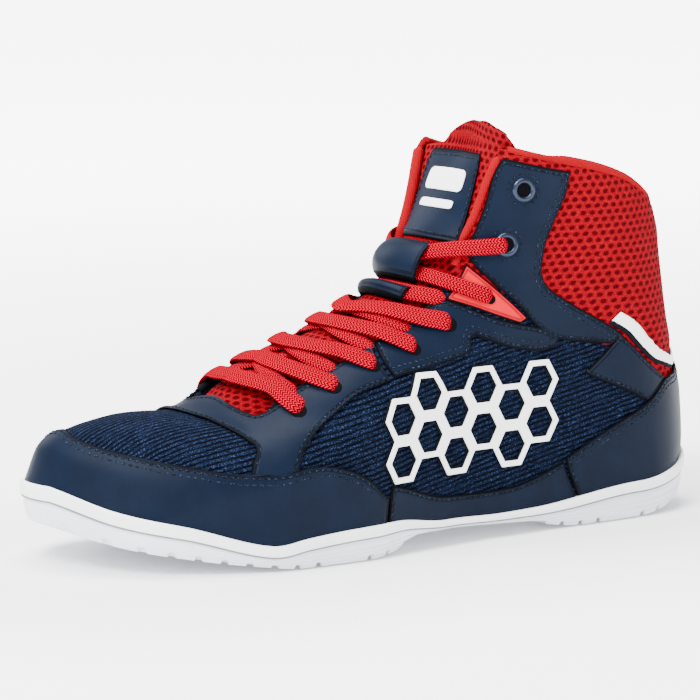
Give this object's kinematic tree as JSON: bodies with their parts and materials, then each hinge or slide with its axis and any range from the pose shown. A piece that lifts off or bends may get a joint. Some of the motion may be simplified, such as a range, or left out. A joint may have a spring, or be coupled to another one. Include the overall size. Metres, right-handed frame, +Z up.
{
  "type": "wrestling shoe",
  "caption": "High-top wrestling shoe: soft hollow upper to above the ankle, laced throat over a padded tongue, sewn overlays and a thin ribbed rubber sole.",
  "frame": {"origin": "on the floor under the heel, in the middle of the heel's flat spot", "axes": "+X towards the toe, +Y towards the outer side of the left foot, +Z up"},
  "size_m": [0.2891, 0.0996, 0.1581],
  "materials": {
    "navy_mesh": "ribbed mesh",
    "navy_smooth": "satin coated",
    "red_mesh": "open air mesh",
    "red_smooth": "satin coated",
    "red_lace": "flat woven",
    "white_rubber": "matt",
    "white_smooth": "satin coated",
    "grey_board": "matt",
    "dark_metal": "gunmetal"
  },
  "bodies": {
    "root": {"outsole": "white_rubber", "midsole": "white_rubber", "insole": "grey_board", "upper": "navy_mesh", "tongue": "red_mesh", "tongue_patch": "navy_smooth", "lace_keeper_upper": "navy_smooth", "lace_keeper_lower": "navy_smooth", "toe_rand": "navy_smooth", "vamp_saddle": "navy_smooth", "eyestay_lateral": "navy_smooth", "eyestay_medial": "navy_smooth", "insert_lateral": "red_smooth", "insert_medial": "red_smooth", "collar_panel_lateral": "navy_smooth", "collar_panel_medial": "navy_smooth", "side_band_lateral": "navy_smooth", "side_band_medial": "navy_smooth", "strap_panel_lateral": "navy_smooth", "strap_panel_medial": "navy_smooth", "heel_counter": "navy_smooth", "collar_tape": "white_smooth", "side_lattice_lateral": "white_smooth", "side_lattice_medial": "white_smooth", "eyelet_lateral_1": "dark_metal", "eyelet_lateral_2": "dark_metal", "eyelet_medial_1": "dark_metal", "eyelet_medial_2": "dark_metal", "lace_crossing_1": "red_lace", "lace_crossing_2": "red_lace", "lace_crossing_3": "red_lace", "lace_crossing_4": "red_lace", "lace_crossing_5": "red_lace", "lace_crossing_6": "red_lace", "lace_crossing_7": "red_lace"}
  },
  "joints": []
}
